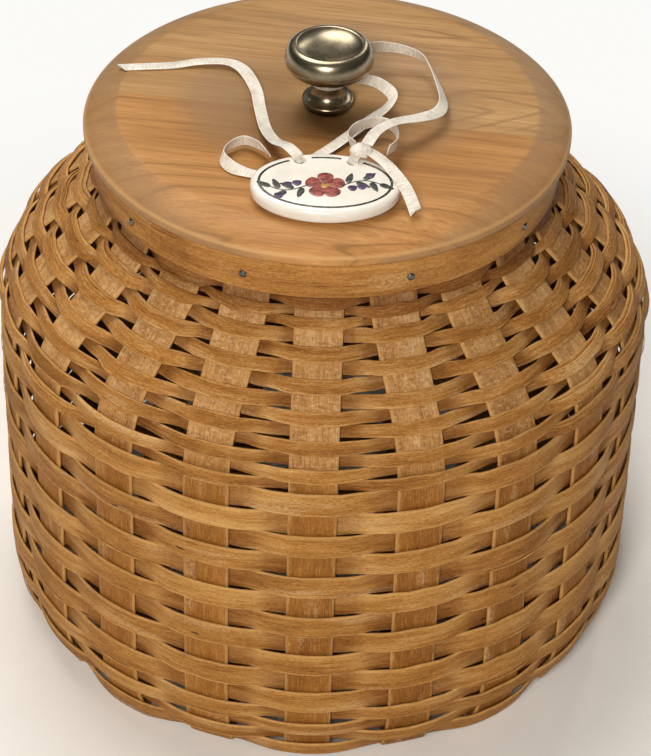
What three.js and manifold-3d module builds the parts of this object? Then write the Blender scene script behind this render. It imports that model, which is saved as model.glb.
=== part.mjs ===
// Round lidded basket woven from flat wooden splints, with a turned wooden lid, a metal knob
// and a glazed oval tag tied on with a satin ribbon.
// Millimetres, +Z up. The basket stands on z = 0 around the Z axis and its front faces -Y.
import * as THREE from 'three';
import { mergeVertices } from 'three/addons/utils/BufferGeometryUtils.js';
import Module from 'manifold-3d';

const wasm = await Module();
wasm.setup();

const FIT = 0.3; // clearance between pieces that touch
const WELD = 1e-4; // corners closer than this are one
const PROFILE_STEPS = 3; // straight steps to each curve of a turned outline

// Spokes: flat splints that cross under the basket and turn up its wall as uprights.
const SPOKES_EACH_WAY = 5; // front to back, and as many from side to side
const UPRIGHT_WIDTH = 18;
const UPRIGHT_THICK = 1.4;
const CROSSING_EASE = 1; // flat run past the edge of the splint that is crossed
const FOOT_BEND = 3; // radius of the turn from base to wall
const BEND_STEPS = 2;

// Weavers: one closed ring of splint to a row, over one upright and under the next.
const WEAVER_THICK = 1.1;
const WEAVER_EASE = 0.8; // flat run past the edge of an upright
const ROW_GAP = 0.5; // between neighbouring rows
const BELLY_RADIUS = 128.6; // to the middle of the uprights, at the top of the foot rows
const FOOT_ROWS = 4;
const FOOT_PITCH = 6.9;
const FOOT_FLARE = 20; // degrees that the lowest row leans outwards
const FOOT_CURVE = 1.5; // how quickly the lean dies away over the foot rows
const BELLY_ROWS = 11;
const BELLY_PITCH = 10;
const BELLY_LEAN = 0.8; // degrees inwards
const TURN_ROWS = 6; // where the belly turns into the shoulder
const TURN_PITCH = 5.2;
const SHOULDER_ROWS = 5;
const SHOULDER_PITCH = 6;
const SHOULDER_LEAN = 47; // degrees inwards
const NECK_ROWS = 3;
const NECK_PITCH = 4;
const NECK_STEP = 10; // degrees that each neck row turns back towards the vertical

// Rim: two bent bands with the ends of the uprights between them.
const RIM_HEIGHT = 16.5;
const OUTER_RIM_THICK = 2.4;
const INNER_RIM_THICK = 2.4;
const RIM_BEND = 6; // radius of the last turn of an upright
const UPRIGHT_SHORT = 0.8; // upright ends below the top of the rim
const RIM_FACETS = 48;

// Lid: a turned board with a rebate that drops inside the rim.
const LID_OVERHANG = 3.3; // past the outer rim
const LID_THICK = 9.2;
const LID_EDGE = 3.2; // height of the edge below the slope
const LID_EDGE_ROUND = 1.2;
const LID_BEVEL = 13.3; // width of the soft slope round the top
const LID_SLOPE = 16; // degrees, where the slope starts
const LID_NOSE = 2.5; // how far inside the edge the slope turns down
const REBATE_DEPTH = 6;
const REBATE_PLAY = 1.5; // between the rebate and the inner rim
const LID_FACETS = 48;

// Knob: a dished mushroom knob on a flared foot, held by a screw from below.
const KNOB_HEIGHT = 26;
const KNOB_HEAD_RADIUS = 16.8;
const KNOB_HEAD_MIDDLE = 19.6; // height of its widest ring
const KNOB_BOWL_DEPTH = 8; // half height of the ellipse under the head
const KNOB_DISH_RADIUS = 12.5;
const KNOB_DISH_DEPTH = 2.8;
const KNOB_DISH_BLEND = 3; // width of the turn from the rim into the dish
const KNOB_NECK_RADIUS = 5.2;
const KNOB_NECK_BOTTOM = 7.2;
const KNOB_FOOT_RADIUS = 9.8;
const KNOB_FOOT_EDGE = 2.6; // height of the foot's widest ring
const KNOB_EDGE_ROUND = 1;
const KNOB_BORE_SPARE = 1; // empty bore past the screw's tip
const KNOB_FACETS = 24;
const SCREW_RADIUS = 2;
const SCREW_GRIP = 11; // length of thread inside the knob
const SCREW_HEAD_RADIUS = 4.2;
const SCREW_HEAD_THICK = 2.2;
const SCREW_HEAD_ROUND = 1.2;
const SCREW_POINT = 1; // length of the tapered tip
const SCREW_FACETS = 12;

// Tag: a glazed oval with two tie holes, its front edge on the lid and its back edge propped up.
const TAG_WIDTH = 54;
const TAG_DEPTH = 35;
const TAG_THICK = 5.6;
const TAG_EDGE_ROUND = 1.8;
const TAG_TILT = 4; // degrees
const TAG_CENTRE_X = 0.6;
const TAG_CENTRE_Y = -63;
const TAG_HOLE_RADIUS = 2.2;
const TAG_HOLE_SPACING = 19;
const TAG_HOLE_INSET = 5.2; // from the back edge to the holes' line
const TAG_CURVE_STEPS = 12;

// Ribbon: narrow satin, tied to the tag and round the neck of the knob.
const RIBBON_WIDTH = 4.6;
const RIBBON_THICK = 0.5;
const RIBBON_STEP = 4.5; // length of a straight step
const KNOT_LENGTH = 8.4;
const KNOT_DEPTH = 7.2;
const KNOT_HEIGHT = 4.8;
const KNOT_FACETS = 12;
const KNOT_RINGS = 8;
const KNOT_PLACE = [13, -48, 10.85];

// Routes of the ribbon over the lid's top: x, y, height above the lid, and the turn of its face
// in degrees: 0 where it lies flat, 90 where it stands on its edge, more where that edge leans out.
const RIBBON_ROUTES = {
  ribbon_left_tail: [
    [-80.4, 20.3, 0.4, 0],
    [-68.9, 21.6, 0.6, 0],
    [-60.5, 22.7, 0.7, 0],
    [-49.8, 24.7, 1.6, 0],
    [-40, 24.5, 2, 0],
    [-34.5, 21, 2, 8],
    [-30.9, 14.8, 1.8, 15],
    [-27.4, 4.7, 1.6, 10],
    [-25.5, -7, 1.6, 0],
    [-22.7, -22.9, 3, 0],
    [-18.7, -35.2, 5.6, 0],
    [-14, -43.1, 8.8, 0],
    [-10.4, -48.5, 9, 0],
  ],
  ribbon_left_loop: [
    [-20.6, -41.9, 4.4, 60],
    [-24.4, -36.1, 3.9, 75],
    [-30.2, -32.5, 3.5, 80],
    [-35.4, -36.3, 3.2, 80],
    [-37.7, -42.9, 3, 70],
    [-34.2, -48.1, 2.2, 40],
    [-28.4, -50.1, 1.2, 10],
    [-22.5, -51.1, 0.7, 0],
  ],
  ribbon_neck_strand: [
    [14.9, -44.3, 11, 0],
    [18.6, -35.1, 11.2, 0],
    [25.2, -27.3, 10.4, 0],
    [34.2, -20.9, 8.4, 10],
    [41, -14.2, 6.6, 25],
    [43.5, -5.8, 5.6, 40],
    [42.2, 4.7, 5.6, 50],
    [39.3, 15.9, 6.6, 60],
    [35.6, 23.7, 7.4, 70],
    [27, 27, 8.8, 80],
    [17, 25.6, 10, 95],
    [7.4, 17.6, 10.8, 115],
    [0, 10.4, 10.8, 130],
    [-5.4, 5.4, 10.8, 135],
    [-7.6, 0, 10.8, 135],
    [-5.4, -5.4, 10.8, 135],
    [0, -7.6, 10.8, 135],
    [5.4, -5.4, 10.8, 135],
    [8.4, -0.6, 10.6, 125],
    [13.2, 2.2, 9.8, 100],
    [19.2, 1.6, 8.4, 75],
    [24.2, -2.2, 6, 45],
    [22.4, -7.6, 4.4, 20],
    [16.4, -14.8, 3.2, 0],
    [8.4, -24.4, 2, 0],
    [1.5, -32.8, 1.3, 0],
    [-5.4, -40.6, 0.9, 0],
    [-8.4, -45.1, 0.8, 0],
  ],
  ribbon_right_loop: [
    [11.4, -44.2, 10.4, 75],
    [8.6, -38.5, 9.4, 80],
    [9.8, -31.5, 8.6, 85],
    [13.4, -25.9, 7.6, 90],
    [18.7, -21.9, 6.4, 90],
    [23.9, -22.5, 5.4, 90],
    [26.3, -27.9, 5.2, 90],
    [25.8, -35.5, 6, 85],
    [22.8, -42.5, 7.6, 80],
  ],
  ribbon_right_tail: [
    [18, -49.3, 10.2, 0],
    [22, -53.7, 9.6, 0],
    [25.4, -58.7, 8.8, 4],
    [29.2, -64.9, 7, 10],
    [31.6, -69.5, 4.4, 10],
    [33, -73.1, 2.4, 5],
  ],
};

const rad = THREE.MathUtils.degToRad;
const material = (color, roughness, metalness = 0) =>
  new THREE.MeshStandardMaterial({ color, roughness, metalness });

const WEAVER_WOOD = material(0xae7e45, 0.6);
const UPRIGHT_WOOD = material(0xbb9360, 0.7);
const RIM_WOOD = material(0xa87a44, 0.55);
const LID_WOOD = material(0xc2935a, 0.42);
const NICKEL = material(0xa9a294, 0.22, 1);
const STEEL = material(0x8f9194, 0.35, 1);
const GLAZE = material(0xf1ece0, 0.15);
const SATIN = material(0xefe6d6, 0.5);

const basket = new THREE.Group();

function add(name, geometry, finish, parent = basket) {
  const mesh = new THREE.Mesh(geometry, finish);
  mesh.name = name;
  parent.add(mesh);
  return mesh;
}

// A closed solid through cross-sections that all have the same number of corners, anticlockwise
// as seen looking back along the run. A ring joins its last section to its first.
function loft(sections, ring = false) {
  const corners = sections[0].length;
  const position = sections.flat().flatMap((corner) => corner.toArray());
  const index = [];
  const spans = ring ? sections.length : sections.length - 1;
  for (let span = 0; span < spans; span += 1) {
    const here = span * corners;
    const next = ((span + 1) % sections.length) * corners;
    for (let side = 0; side < corners; side += 1) {
      const other = (side + 1) % corners;
      index.push(here + side, here + other, next + other);
      index.push(here + side, next + other, next + side);
    }
  }
  if (!ring) {
    const end = (sections.length - 1) * corners;
    for (let corner = 1; corner < corners - 1; corner += 1) {
      index.push(0, corner + 1, corner);
      index.push(end, end + corner, end + corner + 1);
    }
  }
  const geometry = new THREE.BufferGeometry();
  geometry.setAttribute('position', new THREE.Float32BufferAttribute(position, 3));
  geometry.setIndex(index);
  geometry.computeVertexNormals();
  return geometry;
}

// The four corners of a flat strip at one place: across is its width, out its thickness.
function stripSection(centre, across, out, width, thick) {
  const corner = (side, face) =>
    centre.clone().addScaledVector(across, (side * width) / 2).addScaledVector(out, (face * thick) / 2);
  return [corner(-1, -1), corner(1, -1), corner(1, 1), corner(-1, 1)];
}

// Closed meshes to solids and back, for the cuts.
function solid(geometry) {
  geometry.deleteAttribute('normal');
  geometry.deleteAttribute('uv');
  const merged = mergeVertices(geometry, WELD);
  return new wasm.Manifold(
    new wasm.Mesh({
      numProp: 3,
      vertProperties: new Float32Array(merged.attributes.position.array),
      triVerts: new Uint32Array(merged.index.array),
    }),
  );
}

function surface(body) {
  const mesh = body.getMesh();
  const geometry = new THREE.BufferGeometry();
  geometry.setAttribute('position', new THREE.BufferAttribute(mesh.vertProperties, 3));
  geometry.setIndex(new THREE.BufferAttribute(mesh.triVerts, 1));
  geometry.computeVertexNormals();
  return geometry;
}

function revolve(outline, facets) {
  const geometry = new THREE.LatheGeometry(outline, facets);
  geometry.rotateX(Math.PI / 2);
  return geometry;
}

const point = (x, y) => new THREE.Vector2(x, y);
const radial = (azimuth) => new THREE.Vector3(Math.sin(azimuth), -Math.cos(azimuth), 0);
const tangent = (azimuth) => new THREE.Vector3(Math.cos(azimuth), Math.sin(azimuth), 0);

// The rows, from the foot to the neck: how wide each is and how far it leans inwards.
const uprightCount = 4 * SPOKES_EACH_WAY;
const uprightStep = (2 * Math.PI) / uprightCount;
const rows = [];
for (let row = 0; row < FOOT_ROWS; row += 1) {
  const left = (FOOT_ROWS - row) / FOOT_ROWS;
  rows.push({ pitch: FOOT_PITCH, lean: -rad(FOOT_FLARE) * left ** FOOT_CURVE });
}
for (let row = 0; row < BELLY_ROWS; row += 1) {
  rows.push({ pitch: BELLY_PITCH, lean: rad(BELLY_LEAN) });
}
for (let row = 1; row <= TURN_ROWS; row += 1) {
  const turned = (SHOULDER_LEAN - BELLY_LEAN) * (row / TURN_ROWS);
  rows.push({ pitch: TURN_PITCH, lean: rad(BELLY_LEAN + turned) });
}
for (let row = 0; row < SHOULDER_ROWS; row += 1) {
  rows.push({ pitch: SHOULDER_PITCH, lean: rad(SHOULDER_LEAN) });
}
for (let row = 1; row <= NECK_ROWS; row += 1) {
  rows.push({ pitch: NECK_PITCH, lean: rad(SHOULDER_LEAN - NECK_STEP * row) });
}

// The wall's middle line, one straight step to a row, starting where the foot turns up.
const layer = UPRIGHT_THICK / 2 + FIT / 2; // from the base's middle plane to a splint's middle
const baseHeight = layer + UPRIGHT_THICK / 2;
const footFlare = -rows[0].lean;
const footHeight = baseHeight + FOOT_BEND * (1 - Math.sin(footFlare));
const flareOut = rows.slice(0, FOOT_ROWS).reduce((sum, row) => sum - row.pitch * Math.sin(row.lean), 0);
const footRadius = BELLY_RADIUS - flareOut;
const wall = [point(footRadius, footHeight)];
for (const row of rows) {
  row.up = point(-Math.sin(row.lean), Math.cos(row.lean));
  row.out = point(Math.cos(row.lean), Math.sin(row.lean));
  const start = wall[wall.length - 1];
  row.middle = start.clone().addScaledVector(row.up, row.pitch / 2);
  wall.push(start.clone().addScaledVector(row.up, row.pitch));
}
const neck = wall[wall.length - 1];
const neckRow = rows[rows.length - 1];

// Rim heights and radii follow from the neck.
const weaverReach = UPRIGHT_THICK / 2 + FIT + WEAVER_THICK; // outer face of a weaver over an upright
const rimRadius = neck.x - RIM_BEND * (1 - Math.cos(neckRow.lean));
const rimTurnTop = neck.y + RIM_BEND * Math.sin(neckRow.lean);
const rimBottom = neck.y + weaverReach * neckRow.out.y + FIT;
const rimTop = rimBottom + RIM_HEIGHT;
const rimPocket = UPRIGHT_THICK / 2 + FIT;
const uprightCornerReach = Math.hypot(rimRadius + rimPocket, UPRIGHT_WIDTH / 2);
const outerRimInside = (uprightCornerReach + FIT / 2) / Math.cos(Math.PI / RIM_FACETS);
const outerRimOutside = outerRimInside + OUTER_RIM_THICK;
const innerRimOutside = rimRadius - rimPocket;
const innerRimInside = innerRimOutside - INNER_RIM_THICK;

// Base spokes: half run front to back and half from side to side, woven over and under.
const bendRadius = footRadius - FOOT_BEND * Math.cos(footFlare);
const spokeTurns = [];
for (let spoke = 0; spoke < SPOKES_EACH_WAY; spoke += 1) {
  spokeTurns.push((spoke - (SPOKES_EACH_WAY - 1) / 2) * uprightStep);
}
const spokeOffsets = spokeTurns.map((turn) => bendRadius * Math.sin(turn));

// One upright, from the edge of the base to its end in the rim. side is the way that the spoke's
// width runs: 1 on the wall where the spoke starts and -1 on the wall where it ends.
function uprightSections(azimuth, side) {
  const out = radial(azimuth);
  const across = tangent(azimuth).multiplyScalar(side);
  const sections = [];
  const place = (r, z, lean) => {
    const centre = out.clone().multiplyScalar(r).setZ(z);
    const normal = out.clone().multiplyScalar(Math.cos(lean)).setZ(Math.sin(lean));
    sections.push(stripSection(centre, across, normal, UPRIGHT_WIDTH, UPRIGHT_THICK));
  };
  for (let step = 0; step <= BEND_STEPS; step += 1) {
    const lean = -Math.PI / 2 + (step / BEND_STEPS) * (Math.PI / 2 - footFlare);
    const r = bendRadius + FOOT_BEND * Math.cos(lean);
    place(r, baseHeight + FOOT_BEND * (1 + Math.sin(lean)), lean);
  }
  for (let joint = 1; joint < rows.length; joint += 1) {
    const below = rows[joint - 1].lean;
    const above = rows[joint].lean;
    if (below !== above) {
      place(wall[joint].x, wall[joint].y, (below + above) / 2);
    }
  }
  place(neck.x, neck.y, neckRow.lean);
  place(rimRadius, rimTurnTop, 0);
  place(rimRadius, rimTop - UPRIGHT_SHORT, 0);
  return sections;
}

// The flat run of a spoke under the basket: above one spoke that it crosses and below the next.
function baseSections(offset, along, across, firstLevel) {
  const down = new THREE.Vector3(0, 0, -1);
  const reach = UPRIGHT_WIDTH / 2 + CROSSING_EASE;
  const sections = [];
  spokeOffsets.forEach((crossing, number) => {
    const level = firstLevel * (-1) ** number * layer;
    for (const edge of [-reach, reach]) {
      const centre = across.clone().multiplyScalar(offset);
      centre.addScaledVector(along, crossing + edge).setZ(baseHeight + level);
      sections.push(stripSection(centre, across, down, UPRIGHT_WIDTH, UPRIGHT_THICK));
    }
  });
  return sections;
}

// A whole spoke: down the wall that heading faces, across the base and up the opposite wall.
function spoke(name, number, heading, firstLevel) {
  const turn = spokeTurns[number];
  const along = radial(heading).negate();
  const across = tangent(heading);
  const down = uprightSections(heading + turn, 1).reverse();
  const base = baseSections(spokeOffsets[number], along, across, firstLevel);
  const up = uprightSections(heading + Math.PI - turn, -1);
  add(name, loft([...down, ...base, ...up]), UPRIGHT_WOOD);
}

// One row of weaver, flat where it crosses an upright and slanting in between.
function weaver(name, row, firstSide) {
  const sections = [];
  const lift = UPRIGHT_THICK / 2 + FIT + WEAVER_THICK / 2;
  const reach = UPRIGHT_WIDTH / 2 + WEAVER_EASE;
  for (let number = 0; number < uprightCount; number += 1) {
    const azimuth = number * uprightStep;
    const offset = firstSide * (-1) ** number * lift;
    const up = radial(azimuth).multiplyScalar(row.up.x).setZ(row.up.y);
    const out = radial(azimuth).multiplyScalar(row.out.x).setZ(row.out.y);
    const middle = radial(azimuth).multiplyScalar(row.middle.x).setZ(row.middle.y);
    middle.addScaledVector(out, offset);
    for (const edge of [-reach, reach]) {
      const centre = middle.clone().addScaledVector(tangent(azimuth), edge);
      sections.push(stripSection(centre, up, out, row.pitch - ROW_GAP, WEAVER_THICK));
    }
  }
  add(name, loft(sections, true), WEAVER_WOOD);
}

function band(name, inside, outside) {
  const outline = [
    point(inside, rimBottom),
    point(outside, rimBottom),
    point(outside, rimTop),
    point(inside, rimTop),
    point(inside, rimBottom),
  ];
  add(name, revolve(outline, RIM_FACETS), RIM_WOOD);
}

for (let number = 0; number < SPOKES_EACH_WAY; number += 1) {
  const level = (-1) ** number;
  spoke(`spoke_lengthwise_${number + 1}`, number, 0, level);
  const mirrored = (-1) ** (SPOKES_EACH_WAY - 1 - number);
  spoke(`spoke_crosswise_${number + 1}`, number, -Math.PI / 2, -mirrored);
}
rows.forEach((row, number) => {
  weaver(`weaver_${String(number + 1).padStart(2, '0')}`, row, (-1) ** number);
});
band('outer_rim', outerRimInside, outerRimOutside);
band('inner_rim', innerRimInside, innerRimOutside);

// Everything on the lid is placed from the lid's seat or its top.
const lidSeat = rimTop + FIT;
const lidTop = lidSeat + LID_THICK;
const lidRadius = outerRimOutside + LID_OVERHANG;
const lid = new THREE.Group();
lid.position.z = lidSeat;
basket.add(lid);
const onLid = new THREE.Group();
onLid.position.z = lidTop;
basket.add(onLid);

function lidBoard() {
  const bore = SCREW_RADIUS + FIT;
  const rebate = innerRimInside - REBATE_PLAY;
  const outline = new THREE.Path();
  outline.moveTo(bore, -REBATE_DEPTH);
  outline.lineTo(rebate, -REBATE_DEPTH);
  outline.lineTo(rebate, 0);
  outline.lineTo(lidRadius - LID_EDGE_ROUND, 0);
  outline.quadraticCurveTo(lidRadius, 0, lidRadius, LID_EDGE_ROUND);
  outline.lineTo(lidRadius, LID_EDGE);
  const slopeStart = lidRadius - LID_BEVEL;
  const noseHeight = LID_THICK - (LID_BEVEL - LID_NOSE) * Math.tan(rad(LID_SLOPE));
  outline.quadraticCurveTo(lidRadius - LID_NOSE, noseHeight, slopeStart, LID_THICK);
  outline.lineTo(bore, LID_THICK);
  outline.lineTo(bore, -REBATE_DEPTH);
  add('lid_board', revolve(outline.getPoints(PROFILE_STEPS), LID_FACETS), LID_WOOD, lid);
}

function knob() {
  const bore = SCREW_RADIUS + FIT;
  const boreTop = SCREW_GRIP + KNOB_BORE_SPARE;
  const footCorner = KNOB_FOOT_RADIUS - KNOB_EDGE_ROUND;
  const headCorner = KNOB_HEAD_RADIUS - KNOB_EDGE_ROUND / 2;
  const dishBottom = KNOB_HEIGHT - KNOB_DISH_DEPTH;
  const bowlStart = -Math.acos(KNOB_NECK_RADIUS / KNOB_HEAD_RADIUS);
  const outline = new THREE.Path();
  outline.moveTo(0, boreTop);
  outline.lineTo(bore, boreTop);
  outline.lineTo(bore, 0);
  outline.lineTo(footCorner, 0);
  outline.quadraticCurveTo(KNOB_FOOT_RADIUS, 0, KNOB_FOOT_RADIUS, KNOB_FOOT_EDGE);
  outline.quadraticCurveTo(KNOB_NECK_RADIUS, KNOB_FOOT_EDGE, KNOB_NECK_RADIUS, KNOB_NECK_BOTTOM);
  outline.absellipse(0, KNOB_HEAD_MIDDLE, KNOB_HEAD_RADIUS, KNOB_BOWL_DEPTH, bowlStart, 0);
  outline.quadraticCurveTo(headCorner, KNOB_HEIGHT, KNOB_DISH_RADIUS, KNOB_HEIGHT);
  outline.quadraticCurveTo(KNOB_DISH_RADIUS - KNOB_DISH_BLEND, dishBottom, 0, dishBottom);
  const mesh = add('knob', revolve(outline.getPoints(PROFILE_STEPS), KNOB_FACETS), NICKEL, onLid);
  mesh.position.z = FIT;
}

function knobScrew() {
  const headTop = -LID_THICK - REBATE_DEPTH - FIT;
  const headBottom = headTop - SCREW_HEAD_THICK;
  const tip = FIT + SCREW_GRIP;
  const outline = [
    point(0, headBottom),
    point(SCREW_HEAD_RADIUS - SCREW_HEAD_ROUND, headBottom),
    point(SCREW_HEAD_RADIUS, headBottom + SCREW_HEAD_ROUND),
    point(SCREW_HEAD_RADIUS, headTop),
    point(SCREW_RADIUS, headTop),
    point(SCREW_RADIUS, tip - SCREW_POINT),
    point(SCREW_RADIUS / 2, tip),
    point(0, tip),
  ];
  add('knob_screw', revolve(outline, SCREW_FACETS), STEEL, onLid);
}

function tag() {
  const outline = new THREE.Shape();
  outline.absellipse(0, 0, TAG_WIDTH / 2, TAG_DEPTH / 2, 0, 2 * Math.PI);
  const plate = new THREE.ExtrudeGeometry(outline, {
    depth: TAG_THICK - 2 * TAG_EDGE_ROUND,
    bevelThickness: TAG_EDGE_ROUND,
    bevelSize: TAG_EDGE_ROUND,
    bevelOffset: -TAG_EDGE_ROUND,
    bevelSegments: 2,
    curveSegments: TAG_CURVE_STEPS,
  });
  plate.translate(0, 0, TAG_EDGE_ROUND);
  let body = solid(plate);
  const drillLength = 3 * TAG_THICK;
  for (const side of [-1, 1]) {
    const drill = new THREE.CylinderGeometry(TAG_HOLE_RADIUS, TAG_HOLE_RADIUS, drillLength, TAG_CURVE_STEPS);
    drill.rotateX(Math.PI / 2);
    drill.translate((side * TAG_HOLE_SPACING) / 2, TAG_DEPTH / 2 - TAG_HOLE_INSET, TAG_THICK / 2);
    body = body.subtract(solid(drill));
  }
  const mesh = add('tag', surface(body), GLAZE, onLid);
  const tilt = rad(TAG_TILT);
  const frontEdge = TAG_DEPTH / 2 - TAG_EDGE_ROUND;
  mesh.rotation.x = tilt;
  mesh.position.set(TAG_CENTRE_X, TAG_CENTRE_Y, FIT + frontEdge * Math.sin(tilt));
}

// A flat ribbon along a hand-laid route. Its face turns about the route as the route says.
function ribbon(name, route) {
  const curve = new THREE.CatmullRomCurve3(route.map(([x, y, h]) => new THREE.Vector3(x, y, h)));
  const steps = Math.ceil(curve.getLength() / RIBBON_STEP);
  const sections = [];
  for (let step = 0; step <= steps; step += 1) {
    const t = curve.getUtoTmapping(step / steps);
    const along = curve.getTangent(t);
    const knot = Math.min(Math.floor(t * (route.length - 1)), route.length - 2);
    const share = t * (route.length - 1) - knot;
    const turn = rad(THREE.MathUtils.lerp(route[knot][3], route[knot + 1][3], share));
    const out = new THREE.Vector3(0, 0, 1).projectOnPlane(along).normalize();
    out.applyAxisAngle(along, turn);
    const across = new THREE.Vector3().crossVectors(out, along);
    sections.push(stripSection(curve.getPoint(t), across, out, RIBBON_WIDTH, RIBBON_THICK));
  }
  add(name, loft(sections), SATIN, onLid);
}

function ribbonKnot() {
  const geometry = new THREE.SphereGeometry(KNOT_LENGTH / 2, KNOT_FACETS, KNOT_RINGS);
  geometry.scale(1, KNOT_DEPTH / KNOT_LENGTH, KNOT_HEIGHT / KNOT_LENGTH);
  const mesh = add('ribbon_knot', geometry, SATIN, onLid);
  mesh.position.set(...KNOT_PLACE);
}

lidBoard();
knob();
knobScrew();
tag();
for (const [name, route] of Object.entries(RIBBON_ROUTES)) {
  ribbon(name, route);
}
ribbonKnot();

export default basket;
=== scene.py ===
"""Looks of the lidded splint basket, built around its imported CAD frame. Metres, +Z up, front towards -Y."""
import random
from math import acos, atan2, cos, dist, pi, radians, sin, tan, tanh
from typing import NamedTuple

import bmesh
import bpy
import numpy as np
from mathutils import Matrix, Vector


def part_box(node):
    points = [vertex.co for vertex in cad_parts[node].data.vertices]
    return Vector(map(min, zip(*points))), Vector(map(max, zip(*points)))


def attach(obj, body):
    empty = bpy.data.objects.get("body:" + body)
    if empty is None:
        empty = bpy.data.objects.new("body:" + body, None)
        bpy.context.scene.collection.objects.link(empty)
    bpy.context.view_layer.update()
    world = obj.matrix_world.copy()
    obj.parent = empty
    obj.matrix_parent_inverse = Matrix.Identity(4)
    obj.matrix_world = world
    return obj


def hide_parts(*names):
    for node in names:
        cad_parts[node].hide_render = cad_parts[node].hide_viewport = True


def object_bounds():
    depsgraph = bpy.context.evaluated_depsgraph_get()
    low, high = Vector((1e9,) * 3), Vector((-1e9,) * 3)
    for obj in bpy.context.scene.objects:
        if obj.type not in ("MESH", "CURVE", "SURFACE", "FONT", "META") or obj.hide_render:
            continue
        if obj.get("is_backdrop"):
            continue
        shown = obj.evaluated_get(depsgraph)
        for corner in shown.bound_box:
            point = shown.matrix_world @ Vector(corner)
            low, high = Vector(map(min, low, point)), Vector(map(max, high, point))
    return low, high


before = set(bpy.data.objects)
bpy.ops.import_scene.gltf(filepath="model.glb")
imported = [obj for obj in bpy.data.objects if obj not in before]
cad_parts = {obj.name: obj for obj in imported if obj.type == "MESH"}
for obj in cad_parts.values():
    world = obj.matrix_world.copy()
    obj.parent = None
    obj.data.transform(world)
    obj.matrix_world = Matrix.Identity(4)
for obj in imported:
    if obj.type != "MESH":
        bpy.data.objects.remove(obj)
CAD_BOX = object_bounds()

MM = 0.001
UP = Vector((0, 0, 1))

# Camera, from the photograph: 651 x 756 pixels.
PHOTO_SIZE = (651, 756)
FOCAL_PIXELS = 2458.65
OPTICAL_CENTRE = (320.78, 375.14)
CAMERA_DISTANCE = 0.792633  # from the basket's axis, level
CAMERA_HEIGHT = 0.726483
CAMERA_DOWN = radians(38.615)
CAMERA_ROLL = 0.026656
CAMERA_AZIMUTH = radians(0.752)
SENSOR = 36.0

# Spokes and their ends, the uprights.
SPOKES_EACH_WAY = 5
UPRIGHTS = 4 * SPOKES_EACH_WAY
UPRIGHT_STEP = 2 * pi / UPRIGHTS
UPRIGHT_WIDTH = 18 * MM
UPRIGHT_THICK = 1.4 * MM
UPRIGHT_SHORT = 0.8 * MM  # from its end up to the rim's top
CROSSING_REACH = UPRIGHT_WIDTH / 2 + 1 * MM  # half of the flat stretch where two spokes cross
CROSSING_STEPS = 6  # sections from one crossing to the next
FIT = 0.3 * MM  # gap between pieces that touch
FOOT_BEND, FOOT_STEPS = 3 * MM, 8
RIM_BEND, RIM_STEPS = 6 * MM, 4
WALL_STEPS = 64  # sections of an upright from the foot to the neck

# Rows of weaver: how many, how far apart, how wide the splint is and how far it leans inwards.
WEAVER_THICK = 1.1 * MM
BELLY_RADIUS = 128.6 * MM
FOOT_ROWS, FOOT_PITCH, FOOT_SPLINT = 4, 6.9 * MM, 7.1 * MM
FOOT_FLARE, FOOT_CURVE = radians(20), 1.5
BELLY_ROWS, BELLY_PITCH, BELLY_SPLINT, BELLY_LEAN = 11, 10 * MM, 10.3 * MM, radians(0.8)
TURN_ROWS, TURN_PITCH, TURN_SPLINT = 6, 5.2 * MM, 5.5 * MM
SHOULDER_ROWS, SHOULDER_PITCH, SHOULDER_SPLINT = 5, 6 * MM, 5.7 * MM
SHOULDER_LEAN = radians(47)
NECK_ROWS, NECK_PITCH, NECK_SPLINT, NECK_STEP = 3, 4 * MM, 4.7 * MM, radians(10)
FIRST_UPPER_ROW = FOOT_ROWS + BELLY_ROWS
FIRST_NECK_ROW = FIRST_UPPER_ROW + TURN_ROWS + SHOULDER_ROWS
LINE_STEP = 1 * MM  # spacing of points on the wall's middle line

# How a row lies: its wave over and under the uprights, and the unevenness of handwork.
WEAVER_STEPS = 12  # sections from one upright to the next
WEAVER_SEED, LAP_SEED = 100, 700
LOWER_UNEVEN = (1.3, 0.25 * MM, 0.1 * MM)  # most growth of a lift, how far it strays, gap between rows
UPPER_UNEVEN = (1.4, 0.5 * MM, 0.5 * MM)
ROW_TILT = 2.5  # degrees
RIPPLES, RIPPLE_COUNTS, RIPPLE_SIZE, LAST_PHASE = 3, (25, 70), 0.07 * MM, 6.28
SPLINT_SPREAD = (0.985, 1.02)
SPLINT_BOW = 0.10 * MM
FIRMNESS = 3.8  # how much squarer a row's wave grows where the wall closes in
SHOULDER_SWAY = 1.35 * MM  # how far a shoulder row slips down over an upright, and up behind the next
FOOT_DROP = 1.9 * MM  # how much wider the first row is, down to the floor
TUCK = 8 * MM  # how fast a belly row widens where it passes behind an upright, and so closes the wall
SHOULDER_TUCK = 4.5 * MM  # the same for a row of the shoulder, apart from the front
FRONT_TUCK = 0.45  # share of the belly's at the front
TUCK_START = 0.25  # of the wave's depth
FRONT_SPAN = 0.8  # up to where the front reaches round the wall
SLIVER_CHANCE = 0.15  # of a split edge where a row passes over an upright
SLIVER_THICK = 0.25 * MM
SLIVER_REACH, SLIVER_RISE = (0.25, 0.6), (0.3, 0.75)  # from one upright towards the next, and millimetres
LAP_THICK = 0.6 * MM
LAP_SLIP, LAP_WIDTH = (0.6, 1.2), (0.75, 0.88)  # millimetres, and share of the row's own splint
LAP_SINK = 0.45 * MM  # how far it is pressed in behind an upright
LAP_CHANCES = {12: 0.85, 4: 0.45}  # of a lapped end on a shoulder row, by the upright behind which it starts

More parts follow.
